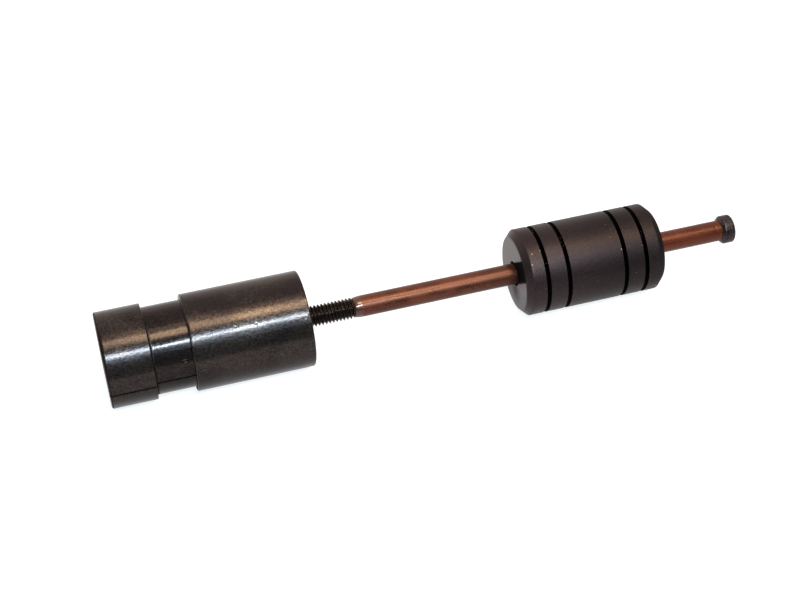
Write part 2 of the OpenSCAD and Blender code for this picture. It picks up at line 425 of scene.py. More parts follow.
thread_bm = one_pitch(rod_x - pitch)
turns = math.ceil((thread_end_x - rod_x) / pitch) + 2
bmesh.ops.spin(thread_bm, geom=thread_bm.verts[:] + thread_bm.edges[:], cent=(0, 0, 0), axis=AXIS,
               dvec=AXIS * (pitch / STEPS_A_TURN), angle=FULL_TURN, steps=STEPS_A_TURN,
               use_merge=False, use_normal_flip=False, use_duplicate=False)
first_turn = thread_bm.verts[:] + thread_bm.edges[:] + thread_bm.faces[:]
for number in range(1, turns):
    copy = bmesh.ops.duplicate(thread_bm, geom=first_turn)["geom"]
    bmesh.ops.translate(thread_bm, vec=AXIS * (pitch * number),
                        verts=[item for item in copy if isinstance(item, bmesh.types.BMVert)])
bmesh.ops.remove_doubles(thread_bm, verts=thread_bm.verts[:], dist=MERGE)
for cut_x, outwards in ((rod_x, -1), (thread_end_x, 1)):
    everything = thread_bm.verts[:] + thread_bm.edges[:] + thread_bm.faces[:]
    bmesh.ops.bisect_plane(thread_bm, geom=everything, dist=ON_PLANE, plane_co=(cut_x, 0, 0),
                           plane_no=(outwards, 0, 0), clear_outer=True)
print(f"{turns} turns, {len(thread_bm.verts)} vertices")

# %% [markdown]
# ## Rod
# The thread's inner end is chamfered, and its other end runs out into a neck. Both are a matter of
# holding each vertex's radius between limits, which is what the turning tool does. The shank is
# turned from its own outline, with the rounded shoulder, and bridged to the thread's end. The ends
# have the small cone that the lathe's centre drills.

# %% Chamfer and run-out
end_chamfer = 0.75 * MM
run_out_slope = 0.9


def limit_radius(vert, lowest, highest):
    radius = math.hypot(vert.co.y, vert.co.z)
    wanted = min(max(radius, lowest), highest)
    vert.co.y *= wanted / radius
    vert.co.z *= wanted / radius


inner_r = root_r - 0.03 * MM
for vert in thread_bm.verts:
    in_by = vert.co.x - rod_x
    back_by = thread_end_x - vert.co.x
    if in_by < 2 * end_chamfer:
        limit_radius(vert, inner_r, inner_r + in_by)
    if back_by < pitch:
        limit_radius(vert, neck_r - back_by * run_out_slope, neck_r + back_by * run_out_slope)
print(f"thread ends at radius {inner_r / MM:.2f} mm inside and {neck_r / MM:.2f} mm outside")


# %% Shank, spigot and centre holes
def quarter_rise(x, low_r, high_r, run, steps=8):
    """Points of the rounded shoulder between the neck and the shank."""
    return [(x + run * (1 - math.cos(math.radians(90 * i / steps))),
             low_r + (high_r - low_r) * math.sin(math.radians(90 * i / steps)))
            for i in range(1, steps + 1)]


spigot_r = 3.175 * MM
centre_hole_r = 1.1 * MM
centre_hole_depth = 1.6 * MM
tool_ring_x = head_x - 2.9 * MM
ring_depth = 0.06 * MM
ring_w = 0.5 * MM
shank_points = [(thread_end_x + 0.1 * MM, neck_r + 0.03 * MM)]
shank_points += quarter_rise(thread_end_x, neck_r, rod_r, neck_len)
shank_points += [(tool_ring_x - ring_w, rod_r), (tool_ring_x, rod_r - ring_depth),
                 (tool_ring_x + ring_w, rod_r), (head_x, rod_r), (head_x, spigot_r),
                 (rod_end_x - 0.3 * MM, spigot_r), (rod_end_x, spigot_r - 0.3 * MM),
                 (rod_end_x, centre_hole_r), (rod_end_x - centre_hole_depth, 0)]
shank_bm = marked_bmesh()
draw_wire(shank_bm, shank_points)
divide_runs(shank_bm, 1.2 * MM)
turn(shank_bm, 2 * STEPS_A_TURN)
shank_mesh = bpy.data.meshes.new("shank")
shank_bm.to_mesh(shank_mesh)
shank_bm.free()
print(f"shank: {len(shank_mesh.polygons)} faces")

# %% Join thread and shank
inner_rim = [edge for edge in thread_bm.edges if edge.is_boundary
             and edge.verts[0].co.x < rod_x + 0.1 * MM]
cone_tip_share = 0.05
for size, shift in ((centre_hole_r / inner_r, 0.0), (cone_tip_share, centre_hole_depth)):
    made = bmesh.ops.extrude_edge_only(thread_bm, edges=inner_rim)
    rim_verts = [item for item in made["geom"] if isinstance(item, bmesh.types.BMVert)]
    inner_rim = [item for item in made["geom"] if isinstance(item, bmesh.types.BMEdge)
                 and item.is_boundary]
    bmesh.ops.scale(thread_bm, verts=rim_verts, vec=(1, size, size))
    bmesh.ops.translate(thread_bm, verts=rim_verts, vec=(shift, 0, 0))
bmesh.ops.holes_fill(thread_bm, edges=inner_rim, sides=0)
thread_bm.from_mesh(shank_mesh)
bpy.data.meshes.remove(shank_mesh)
joint_rims = [edge for edge in thread_bm.edges if edge.is_boundary]
bmesh.ops.bridge_loops(thread_bm, edges=joint_rims)
bmesh.ops.recalc_face_normals(thread_bm, faces=thread_bm.faces[:])
dent_all(thread_bm, [(128, 30, 0.5), (171, 12, 0.7), (262, 75, 0.5), (150, 140, 0.6),
                     (266, 210, 0.6), (139, 250, 0.6)], rod_r)
rod = finish_piece(thread_bm, "rod_with_thread", "rod", "puller_rod", sharp_degrees=50)

# %% [markdown]
# ## Anchor flange and stop head
# The flange sits in the jaws' slot, where it can be seen through the mouth. The stop head is a
# short collar pressed on the spigot. It takes every blow of the hammer, so its edges are bruised.

# %% Turn the flange
hub_r = 8 * MM
hub_end_x = 44.05 * MM
small_break = 0.4 * MM
seat_gap = 0.02 * MM
SMALL_STEPS = 96
seat_r = crest_r + seat_gap
flange_bm = turned([
    (flange_low_x, seat_r), (flange_low_x, hub_r - small_break),
    (flange_low_x + small_break, hub_r), (hub_end_x, hub_r, 0.3 * MM),
    (hub_end_x, flange_r - small_break),
    (hub_end_x + small_break, flange_r), (flange_high_x - small_break, flange_r),
    (flange_high_x, flange_r - small_break), (flange_high_x, seat_r)], corner=0.12 * MM,
    steps=SMALL_STEPS)
flange = finish_piece(flange_bm, "anchor_flange_turned", "rod", "anchor_flange")

# %% Turn the stop head
head_front_chamfer = 1.2 * MM
head_end_chamfer = 0.6 * MM
head_seat_r = spigot_r + seat_gap
head_bm = turned([
    (head_x, head_seat_r), (head_x, head_r - head_front_chamfer),
    (head_x + head_front_chamfer, head_r, 0.25 * MM), (head_end_x - head_end_chamfer, head_r),
    (head_end_x, head_r - head_end_chamfer), (head_end_x, head_seat_r)], corner=0.12 * MM,
    spacing=0.5 * MM, steps=SMALL_STEPS)
dent_all(head_bm, [(head_end_x / MM - 0.4, 120, 0.5), (head_x / MM + 1, 200, 0.5),
                   (head_end_x / MM - 0.4, 300, 0.4)], head_r)
head = finish_piece(head_bm, "stop_head_turned", "rod", "stop_head")

# %% [markdown]
# ## Slide hammer
# A solid bar drilled to run on the rod, chamfered at both ends, with four narrow grooves for the
# fingers. The grooves are part of the turned outline. Oil and dirt stay in them, so they are marked
# as greasy. The bore, its chamfer and the back chamfer are darkened as painted shade, a dark patch
# on the front face beside the rod is a painted reflection of the rod, and the face is a little
# darker low down, also painted shade. The knocks that left bright specks are listed in millimetres
# and degrees.

# %% Turn the hammer
hammer_chamfer = 2.9 * MM
hammer_bore_r = 4.8525 * MM
bore_chamfer = 0.8 * MM
groove_places = (-23 * MM, -13.3 * MM, 13.3 * MM, 23 * MM)
groove_w = 2 * MM
groove_depth = 0.7 * MM
hammer_mid_x = (hammer_x + hammer_end_x) / 2
groove_floor_r = hammer_r - groove_depth
hammer_points = [(hammer_x, hammer_bore_r + bore_chamfer), (hammer_x, hammer_r - hammer_chamfer),
                 (hammer_x + hammer_chamfer, hammer_r, 0.04 * MM)]
for place in groove_places:
    low_x = hammer_mid_x + place - groove_w / 2
    hammer_points += [(low_x, hammer_r, 0), (low_x, groove_floor_r, 0.3 * MM),
                      (low_x + groove_w, groove_floor_r, 0.3 * MM),
                      (low_x + groove_w, hammer_r, 0)]
hammer_points += [(hammer_end_x - hammer_chamfer, hammer_r),
                  (hammer_end_x, hammer_r - hammer_chamfer),
                  (hammer_end_x, hammer_bore_r + bore_chamfer),
                  (hammer_end_x - bore_chamfer, hammer_bore_r),
                  (hammer_x + bore_chamfer, hammer_bore_r)]
hammer_bm = turned(hammer_points, corner=0.1 * MM, spacing=1.1 * MM)
print(f"hammer: {len(hammer_points)} outline points, {len(hammer_bm.faces)} faces")

# %% Grease and painted shade on the hammer
groove_reach = groove_w * 0.75
bore_mouth_r = hammer_bore_r + bore_chamfer
rod_reflection_dir = Vector((0, -0.69, 0.72))
lower_shade_place = Vector((hammer_x, -2.7 * MM, -7.4 * MM))
lower_shade_r = 7.5 * MM
lower_shade_strength = 0.45
hammer_grease_and_shade = hammer_bm.verts.layers.float[GREASE_AND_SHADE]
for vert in hammer_bm.verts:
    radius = math.hypot(vert.co.y, vert.co.z)
    in_groove = any(abs(vert.co.x - hammer_mid_x - place) < groove_reach
                    for place in groove_places)
    if in_groove and bore_mouth_r < radius < hammer_r - EDGE_WIDTH:
        vert[hammer_grease_and_shade] = 1.0
    # The bore and its chamfer are darkened, a painted shade in the hole.
    if radius < bore_mouth_r + EDGE_WIDTH:
        vert[hammer_grease_and_shade] = 1.0
    # The back chamfer is darkened to dim its reflection of the floor, a painted shade.
    on_back_chamfer = vert.co.x > hammer_end_x - hammer_chamfer + EDGE_WIDTH / 2
    if on_back_chamfer and radius > hammer_r - hammer_chamfer:
        vert[hammer_grease_and_shade] = 0.6
    # On the front face, a dark band from the bore towards the front and top is a painted reflection
    # of the rod.
    sideways = abs(vert.co.y * rod_reflection_dir.z - vert.co.z * rod_reflection_dir.y)
    outwards = vert.co.y * rod_reflection_dir.y + vert.co.z * rod_reflection_dir.z
    if vert.co.x < hammer_x + FACE_TOLERANCE and outwards > 0 and sideways < rod_r:
        vert[hammer_grease_and_shade] = 1.0
    # Below the bore the front face is darkened a little, a painted shade.
    lower_shade = 1 - (vert.co - lower_shade_place).length / lower_shade_r
    if lower_shade > 0:
        vert[hammer_grease_and_shade] = max(vert[hammer_grease_and_shade], lower_shade_strength * lower_shade)
grease_and_shade_count = sum(1 for vert in hammer_bm.verts if vert[hammer_grease_and_shade] > 0)
print(f"{grease_and_shade_count} greasy vertices")

# %% Bruise the hammer
# The dents in front lie where the real hammer shows them, and the ones behind are spread by chance.
seen_dents = [(226.4, 88.6, 0.55), (226.1, 68.8, 0.4), (224.6, 85, 0.35), (217.2, 14.2, 0.3),
              (235.4, 14.2, 0.4), (199.1, 86.2, 0.3), (188.4, 53.8, 0.5), (192.8, 18.4, 0.45),
              (195.5, 17.4, 0.35), (210.2, 9.5, 0.3), (205.3, 71.9, 0.4), (229.6, 49.7, 0.7),
              (239.6, 49.7, 0.6), (240.8, 54.5, 0.5), (233.7, 50.4, 0.3), (189.5, 67.7, 0.6),
              (193.3, 70, 0.5), (227.8, 80, 0.35), (222.3, 92, 0.3), (187.8, 84, 0.35)]
groove_specks = [(194.9, 112, 0.4), (194.4, 105, 0.35), (204.6, 84, 0.4), (204.2, 77, 0.35),
                 (204.7, 71, 0.3), (240.9, 68, 0.4), (240.5, 63, 0.35), (194.9, 52, 0.35)]
chance = random.Random(11)
unseen_dents = [(chance.uniform(188, 246), chance.uniform(115, 340), chance.uniform(0.4, 0.9))
                for _ in range(22)]
dent_all(hammer_bm, seen_dents + unseen_dents, hammer_r)
dent_all(hammer_bm, groove_specks, groove_floor_r)
hammer = finish_piece(hammer_bm, "hammer_body", "hammer", "slide_hammer")

# %% [markdown]
# ## Helpers for node materials
# A material here is a small program, and a few helpers keep it readable. They add a node and set or
# link its inputs, do arithmetic, and start a node group with named sockets or place one.

# %% Node helpers
def set_sockets(tree, sockets, values):
    """Links each value that is a socket, and sets the others."""
    for key, value in values.items():
        if isinstance(value, bpy.types.NodeSocket):
            tree.links.new(value, sockets[key])
        else:
            sockets[key].default_value = value


def put(tree, kind, options=(), sockets=()):
    """Adds a shader node, sets its options, and sets or links its inputs."""
    node = tree.nodes.new("ShaderNode" + kind)
    for key, value in dict(options).items():
        setattr(node, key, value)
    set_sockets(tree, node.inputs, dict(sockets))
    return node


def noise_at(tree, place, scale, **others):
    """A noise texture's value at a place."""
    return put(tree, "TexNoise", sockets={"Vector": place, "Scale": scale, **others}).outputs[0]


# %% Arithmetic with nodes
def maths(tree, operation, first, second=0.0, clamp=False):
    return put(tree, "Math", {"operation": operation, "use_clamp": clamp},
               {0: first, 1: second}).outputs[0]


def times(tree, first, second):
    return maths(tree, "MULTIPLY", first, second)


def plus(tree, first, second):
    return maths(tree, "ADD", first, second)


def scaled(tree, colour, share):
    return put(tree, "VectorMath", {"operation": "SCALE"}, {0: colour, "Scale": share}).outputs[0]


def less_by(tree, share, part):
    """One minus a part of a mask."""
    return maths(tree, "SUBTRACT", 1.0, times(tree, share, part))


def ramp(tree, value, low, high, to_low=0.0, to_high=1.0):
    """A smooth step of a value from one range to another."""
    return put(tree, "MapRange", {"interpolation_type": "SMOOTHSTEP"},
               {"Value": value, "From Min": low, "From Max": high, "To Min": to_low,
                "To Max": to_high}).outputs[0]


def blend_colours(tree, share, first, second):
    return put(tree, "Mix", {"data_type": "RGBA"}, {0: share, 6: first, 7: second}).outputs[2]


# %% Groups and materials
def start_group(name, inputs, outputs):
    """A node group with its sockets: inputs are (name, type, value), outputs (name, type)."""
    tree = bpy.data.node_groups.new(name, "ShaderNodeTree")
    for label, kind, value in inputs:
        socket = tree.interface.new_socket(label, in_out="INPUT", socket_type="NodeSocket" + kind)
        socket.default_value = value
    for label, kind in outputs:
        tree.interface.new_socket(label, in_out="OUTPUT", socket_type="NodeSocket" + kind)
    return tree, tree.nodes.new("NodeGroupInput").outputs, tree.nodes.new("NodeGroupOutput").inputs


def use_group(tree, group, sockets):
    node = tree.nodes.new("ShaderNodeGroup")
    node.node_tree = group
    set_sockets(tree, node.inputs, sockets)
    return node.outputs


def start_material(name):
    material = bpy.data.materials.new(name)
    material.use_nodes = True
    tree = material.node_tree
    return material, tree, tree.nodes["Principled BSDF"].inputs


def relief_normal(tree, relief):
    """The normal of a relief whose heights are in metres."""
    return put(tree, "Bump", sockets={"Strength": 1.0, "Distance": 1.0,
                                      "Height": relief}).outputs[0]


def dress(piece, material):
    piece.data.materials.clear()
    piece.data.materials.append(material)


# %% [markdown]
# ## Effects that several finishes share
# Turning leaves fine rings, on a cylinder along the axis and on a face round it. Both come from one
# noise that is read at the place along the axis and the distance from it. Oxide is never even, so
# soft clouds stretched along the tool shift it between black and bronze. Sliding leaves fine lines
# along the axis, and edges lose their oxide first.

# %% Turning rings
turning_rings, ins, outs = start_group(
    "turning_rings", [("Rings per metre", "Float", 900.0)], [("Height", "Float")])
tree = turning_rings
place = put(tree, "TexCoord").outputs["Object"]
parts = put(tree, "SeparateXYZ", sockets={0: place}).outputs
off_axis = put(tree, "CombineXYZ", sockets={1: parts[1], 2: parts[2]}).outputs[0]
distance = put(tree, "VectorMath", {"operation": "LENGTH"}, {0: off_axis}).outputs["Value"]
ring_place = put(tree, "CombineXYZ", sockets={0: parts[0], 1: distance}).outputs[0]
height = put(tree, "TexNoise", {"noise_dimensions": "2D"},
             {"Vector": ring_place, "Scale": ins["Rings per metre"], "Detail": 5.0,
              "Roughness": 0.72}).outputs[0]
tree.links.new(height, outs["Height"])
print(turning_rings.name, len(tree.nodes), "nodes")

# %% Oxide clouds
oxide_clouds, ins, outs = start_group(
    "oxide_clouds",
    [("Dark", "Color", (0.01, 0.01, 0.01, 1)), ("Bronze", "Color", (0.02, 0.01, 0.01, 1)),
     ("Cloud size", "Float", 55.0), ("Bronze share", "Float", 0.5)],
    [("Color", "Color"), ("Cloud", "Float"), ("Grain", "Float"), ("Speck", "Float")])
tree = oxide_clouds
grain_scale, speck_scale = 1500.0, 1600.0
place = put(tree, "TexCoord").outputs["Object"]
stretched = put(tree, "Mapping", sockets={0: place, "Scale": (0.5, 1, 1)}).outputs[0]
wide = noise_at(tree, stretched, ins["Cloud size"], Detail=3.0, Distortion=0.6)
grain = noise_at(tree, place, grain_scale, Detail=3.0)
cloud_sum = plus(tree, wide, times(tree, maths(tree, "SUBTRACT", grain, 0.5), 0.35))
low_edge = maths(tree, "SUBTRACT", 0.85, ins["Bronze share"])
cloud = ramp(tree, cloud_sum, low_edge, plus(tree, low_edge, 0.3))
tree.links.new(blend_colours(tree, cloud, ins["Dark"], ins["Bronze"]), outs["Color"])
tree.links.new(cloud, outs["Cloud"])
tree.links.new(grain, outs["Grain"])
speck = ramp(tree, noise_at(tree, place, speck_scale, Detail=2.0), 0.4, 0.6)
tree.links.new(speck, outs["Speck"])
print(oxide_clouds.name, len(tree.nodes), "nodes")

# %% Lines along the tool
sliding_lines, ins, outs = start_group(
    "sliding_lines", [("Lines per metre", "Float", 1400.0), ("Amount", "Float", 0.5)],
    [("Mask", "Float"), ("Drag", "Float")])
tree = sliding_lines
place = put(tree, "TexCoord").outputs["Object"]
drawn_out = put(tree, "Mapping", sockets={0: place, "Scale": (0.025, 1, 1)}).outputs[0]
fine = noise_at(tree, drawn_out, ins["Lines per metre"], Detail=4.0, Roughness=0.6)
thin = ramp(tree, maths(tree, "ABSOLUTE", maths(tree, "SUBTRACT", fine, 0.5)), 0.0, 0.018, 1.0, 0.0)
patchy = ramp(tree, noise_at(tree, place, 160.0, Detail=2.0), 0.5, 0.68)
tree.links.new(times(tree, times(tree, thin, patchy), ins["Amount"]), outs["Mask"])
tree.links.new(fine, outs["Drag"])
print(sliding_lines.name, len(tree.nodes), "nodes")

# %% Rubbed edges and bruises
rubbed_edges, ins, outs = start_group(
    "rubbed_edges", [("Amount", "Float", 0.6), ("Knocks", "Float", 1.0)],
    [("Mask", "Float"), ("Grease and shade", "Float")])
tree = rubbed_edges
place = put(tree, "TexCoord").outputs["Object"]
edge = put(tree, "Attribute", {"attribute_name": WORN}).outputs["Fac"]
knock = put(tree, "Attribute", {"attribute_name": BRUISE}).outputs["Fac"]
# This layer holds real grease and painted shade.
greasy_and_shaded = put(tree, "Attribute", {"attribute_name": GREASE_AND_SHADE}).outputs["Fac"]
broken = noise_at(tree, place, 420.0, Detail=4.0, Roughness=0.65)
edge_mask = ramp(tree, times(tree, edge, broken), 0.36, 0.62)
knock_mask = ramp(tree, times(tree, knock, broken), 0.12, 0.34)
both = maths(tree, "MAXIMUM", times(tree, edge_mask, ins["Amount"]),
             times(tree, knock_mask, ins["Knocks"]))
tree.links.new(both, outs["Mask"])
tree.links.new(greasy_and_shaded, outs["Grease and shade"])
print(rubbed_edges.name, len(tree.nodes), "nodes")


# %% [markdown]
# ## Blacked steel
# Hot oxide turns steel black by growing a thin skin on it, and oil is left in the skin. It has
# almost no colour of its own: what is seen is a weak, slightly brown reflection. So the material is
# a metal with a very dark base colour, which is how strongly it reflects when seen straight on.
# Everything that changes over the surface, such as clouds, oil, grease, painted shade and rubbed
# places, is a change of that colour or of the roughness. A linked specular level could do the same
# here, but the export would lose it. It isn't quite a full metal, because the skin also scatters a
# little light.
# Turned steel spreads a highlight along its rings, so the tangent runs round the axis.

# %% The blacked finish
BARE_STEEL = (0.22, 0.17, 0.115, 1)
OXIDE_METALLIC = 0.82
FACE_GAIN = 0.3
GREASE_AND_SHADE_DARKENS, GREASE_DULLS = 0.95, 0.75
BARE_ROUGHNESS = 0.5
BARREL_DARKENS, BARREL_GLOSSIER, BARREL_SMOOTHER = 0.32, 0.05, 0.6
SHINE_BEFORE_SHADE, SHINE_IN_SHADE = 1.1, 0.6


def round_tangent(tree):
    """The direction round the axis, for the stretched highlight of turned metal."""
    place = put(tree, "TexCoord").outputs["Object"]
    around = put(tree, "VectorMath", {"operation": "CROSS_PRODUCT"}, {0: (1, 0, 0), 1: place})
    return put(tree, "VectorTransform", {"vector_type": "VECTOR", "convert_from": "OBJECT",
                                         "convert_to": "WORLD"}, {0: around.outputs[0]}).outputs[0]


def blacked_steel(name, dark, bronze, roughness, face_roughness=0.2, stretch=0.35, rub=0.1,
                  knocks=0.3, line_amount=0.05, rings=1100.0, ring_um=3.0, grain_um=10.0,
                  drag_um=7.0, mottle=0.85, speckle=0.07, coat=0.0, blacker=None, painted_shade_span=None):
    """A very dark metal. Reliefs are in micrometres, and rings are per metre.

    rub, knocks and line_amount are how bare the steel is at edges, in dents and along the lines of
    sliding. mottle and speckle are how far specks change the reflection and the roughness. blacker
    is a place along X where a glossier, darker part begins. drier is a pair of places along X
    between which the colour, and with it the reflection, is darkened: a painted shade.
    """
    material, tree, shader = start_material(name)
    clouds = use_group(tree, oxide_clouds, {"Dark": dark, "Bronze": bronze})
    edges = use_group(tree, rubbed_edges, {"Amount": rub, "Knocks": knocks})
    lines = use_group(tree, sliding_lines, {"Amount": line_amount})
    ring = use_group(tree, turning_rings, {"Rings per metre": rings})
    coord = put(tree, "TexCoord").outputs
    place = put(tree, "SeparateXYZ", sockets={0: coord["Object"]}).outputs[0]
    facing_x = put(tree, "SeparateXYZ", sockets={0: coord["Normal"]}).outputs[0]
    on_face = ramp(tree, maths(tree, "ABSOLUTE", facing_x), 0.6, 0.9)
    speck = maths(tree, "SUBTRACT", clouds["Speck"], 0.5)
    bare = maths(tree, "MAXIMUM", edges["Mask"], lines["Mask"])
    shine = plus(tree, times(tree, speck, mottle), 1.0)
    shine = times(tree, shine, plus(tree, 1.0, times(tree, on_face, FACE_GAIN)))
    # Grease and painted shade darken the colour.
    shine = times(tree, shine, less_by(tree, edges["Grease and shade"], GREASE_AND_SHADE_DARKENS))
    rough = plus(tree, roughness, times(tree, on_face, face_roughness - roughness))
    rough = plus(tree, rough, times(tree, speck, speckle))
    relief = times(tree, ring["Height"], ring_um * MICROMETRE)
    for height, height_um in ((clouds["Grain"], grain_um), (lines["Drag"], drag_um),
                              (speck, grain_um / 4)):
        relief = plus(tree, relief, times(tree, height, height_um * MICROMETRE))
    # A painted shade: the colour, and with it the reflection, is darkened along X between two
    # places.
    if painted_shade_span is not None:
        shine = times(tree, shine, ramp(tree, place, *painted_shade_span, SHINE_BEFORE_SHADE, SHINE_IN_SHADE))
    if blacker is not None:
        barrel = ramp(tree, place, blacker - 0.1 * MM, blacker + 0.1 * MM)
        shine = times(tree, shine, less_by(tree, barrel, BARREL_DARKENS))
        rough = maths(tree, "SUBTRACT", rough, times(tree, barrel, BARREL_GLOSSIER))
        relief = times(tree, relief, less_by(tree, barrel, BARREL_SMOOTHER))
    rough = maths(tree, "ADD", rough, times(tree, edges["Grease and shade"], GREASE_DULLS), clamp=True)
    rough = maths(tree, "MAXIMUM", rough, times(tree, bare, BARE_ROUGHNESS))
    skin = scaled(tree, clouds["Color"], shine)
    set_sockets(tree, shader, {
        "Base Color": blend_colours(tree, bare, skin, BARE_STEEL),
        "Metallic": ramp(tree, edges["Grease and shade"], 0.0, 1.0, OXIDE_METALLIC, 1.0),
        "Specular IOR Level": 0.3, "Roughness": rough, "Normal": relief_normal(tree, relief),
        "Tangent": round_tangent(tree), "Anisotropic": stretch,
        "Coat Weight": times(tree, coat, less_by(tree, edges["Grease and shade"], 1.0)),
        "Coat Roughness": 0.3, "Coat IOR": 1.3})
    return material


# %% Dress the sleeve, the jaws, the hammer and the head
sleeve_finish = blacked_steel(
    "blacked_sleeve", (0.022, 0.018, 0.018, 1), (0.039, 0.032, 0.0285, 1), 0.19, rub=0.03)
jaw_finish = blacked_steel(
    "blacked_jaw", (0.0205, 0.0165, 0.0165, 1), (0.0378, 0.0306, 0.028, 1), 0.19, rub=0.0,
    knocks=0.6, line_amount=0.03, blacker=collar_len)
hammer_finish = blacked_steel(
    "blacked_hammer", (0.0245, 0.0178, 0.0192, 1), (0.034, 0.0244, 0.0244, 1), 0.46,
    face_roughness=0.24, stretch=0.0, rub=0.0, knocks=0.65, line_amount=0.0, ring_um=6.0,
    grain_um=7.0, drag_um=0.0, mottle=0.4, speckle=0.03, coat=0.12, painted_shade_span=(0.19, 0.245))
head_finish = blacked_steel(
    "blacked_head", (0.028, 0.0225, 0.0245, 1), (0.0515, 0.04, 0.0425, 1), 0.36, stretch=0.0,
    rub=0.05, line_amount=0.0, rings=1600.0, ring_um=6.0, drag_um=0.0)
dress(sleeve, sleeve_finish)
dress(hammer, hammer_finish)
dress(head, head_finish)
for jaw in jaws.values():
    dress(jaw, jaw_finish)
print("blacked:", sleeve.name, hammer.name, head.name, [jaw.name for jaw in jaws.values()])

# %% [markdown]
# ## The rod's copper-brown finish
# The rod was heated until its skin went brown, and handling has polished it unevenly. The skin is
# thick enough to have a colour of its own, so it is a red-brown paint-like base under a
# copper-tinted gloss. The end behind the hammer is handled less and is redder, and a painted shade
# darkens the rod where the hammer's face meets it. Oil has gathered in the neck and gives it a
# white glint. The thread kept its black skin, so its faces have a second material, made as the
# blacked steel is.

# %% The rod's finish
RED_SKIN = (0.074, 0.013, 0.0056, 1)
RED_SHARE = 0.6
WORN_COPPER = (0.22, 0.13, 0.095, 1)
NECK_DARKENS, NEAR_HAMMER_SHADE_DARKENS, END_DARKENS = 0.5, 0.5, 0.28
SHADE_RISES_AT, SHADE_FALLS_AT = (0.16, 0.176), (0.2, 0.22)
REDDER_FROM, END_FROM = (0.235, 0.26), (0.258, 0.278)


def brown_rod():
    material, tree, shader = start_material("copper_brown_rod")
    clouds = use_group(tree, oxide_clouds, {
        "Dark": (0.03, 0.0072, 0.0042, 1), "Bronze": (0.062, 0.016, 0.0088, 1),
        "Cloud size": 150.0, "Bronze share": 0.5})
    edges = use_group(tree, rubbed_edges, {"Amount": 0.08, "Knocks": 0.5})
    lines = use_group(tree, sliding_lines, {"Amount": 0.06, "Lines per metre": 2200.0})
    ring = use_group(tree, turning_rings, {"Rings per metre": 1500.0})
    coord = put(tree, "TexCoord").outputs["Object"]
    place = put(tree, "SeparateXYZ", sockets={0: coord}).outputs[0]
    neck_end_x = thread_end_x + neck_len
    neck = times(tree, ramp(tree, place, thread_end_x, thread_end_x + 0.5 * MM),
                 ramp(tree, place, neck_end_x - 1 * MM, neck_end_x, 1.0, 0.0))
    # A painted shade: the rod is darkened where the hammer's face meets it.
    near_hammer_shade = times(tree, ramp(tree, place, *SHADE_RISES_AT), ramp(tree, place, *SHADE_FALLS_AT, 1.0, 0.0))
    redder = times(tree, ramp(tree, place, *REDDER_FROM), RED_SHARE)
    skin = blend_colours(tree, redder, clouds["Color"], RED_SKIN)
    for mask, part in ((neck, NECK_DARKENS), (near_hammer_shade, NEAR_HAMMER_SHADE_DARKENS),
                       (ramp(tree, place, *END_FROM), END_DARKENS)):
        skin = scaled(tree, skin, less_by(tree, mask, part))
    bare = maths(tree, "MAXIMUM", edges["Mask"], lines["Mask"])
    uneven = maths(tree, "SUBTRACT", clouds["Grain"], 0.5)
    rough = plus(tree, 0.26, times(tree, clouds["Cloud"], 0.08))
    rough = plus(tree, rough, times(tree, uneven, 0.2))
    relief = plus(tree, times(tree, ring["Height"], 0.3 * MICROMETRE),
                  times(tree, clouds["Grain"], 8 * MICROMETRE))
    set_sockets(tree, shader, {
        "Base Color": blend_colours(tree, bare, skin, WORN_COPPER), "Metallic": bare,
        "Roughness": rough, "IOR": 1.57, "Specular IOR Level": 0.5,
        "Specular Tint": (1, 0.5, 0.34, 1), "Normal": relief_normal(tree, relief),
        "Coat Weight": neck, "Coat Roughness": 0.07, "Coat IOR": 1.45,
        "Tangent": round_tangent(tree), "Anisotropic": 0.3})
    return material


# %% Dress the rod and its thread
dress(rod, brown_rod())
thread_finish = blacked_steel(
    "blacked_thread", (0.0085, 0.0068, 0.0068, 1), (0.018, 0.0125, 0.0105, 1), 0.24, stretch=0.0,
    rub=0.12, line_amount=0.0, ring_um=0.0, grain_um=3.0, drag_um=0.0)
rod.data.materials.append(thread_finish)
thread_faces = [face for face in rod.data.polygons if face.center.x < thread_end_x + 0.05 * MM]
for face in thread_faces:
    face.material_index = 1
print(f"{len(thread_faces)} thread faces of {len(rod.data.polygons)}")

# %% [markdown]
# ## Plain steel inside
# The anchor flange and the spring pin through it are left bright, with a thin film of oil.

# %% The inner pieces' finish
def plain_steel(name, base):
    material, tree, shader = start_material(name)
    clouds = use_group(tree, oxide_clouds, {"Dark": tuple(part * 0.7 for part in base) + (1,),
                                            "Bronze": base + (1,), "Cloud size": 90.0})
    ring = use_group(tree, turning_rings, {"Rings per metre": 1200.0})
    rough = plus(tree, 0.27, times(tree, clouds["Cloud"], 0.1))
    relief = times(tree, ring["Height"], 0.4 * MICROMETRE)
    set_sockets(tree, shader, {"Base Color": clouds["Color"], "Metallic": 1.0,
                               "Roughness": rough, "Normal": relief_normal(tree, relief)})
    return material


dress(flange, plain_steel("flange_steel", (0.30, 0.29, 0.28)))
pin_finish = plain_steel("pin_spring_steel", (0.40, 0.39, 0.38))
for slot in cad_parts["flange_pin"].material_slots:
    slot.material = pin_finish
print("finishes:", sorted(material.name for material in bpy.data.materials))

# %% [markdown]
# ## Camera
# The real tool was seen from in front, above and a little left of its middle, and the lens keeps a
# slight perspective: the far end is smaller. The numbers come from fitting the rims' ellipses, and
# aim_drop moves the aim down in the picture to put the tool where the photograph has it.

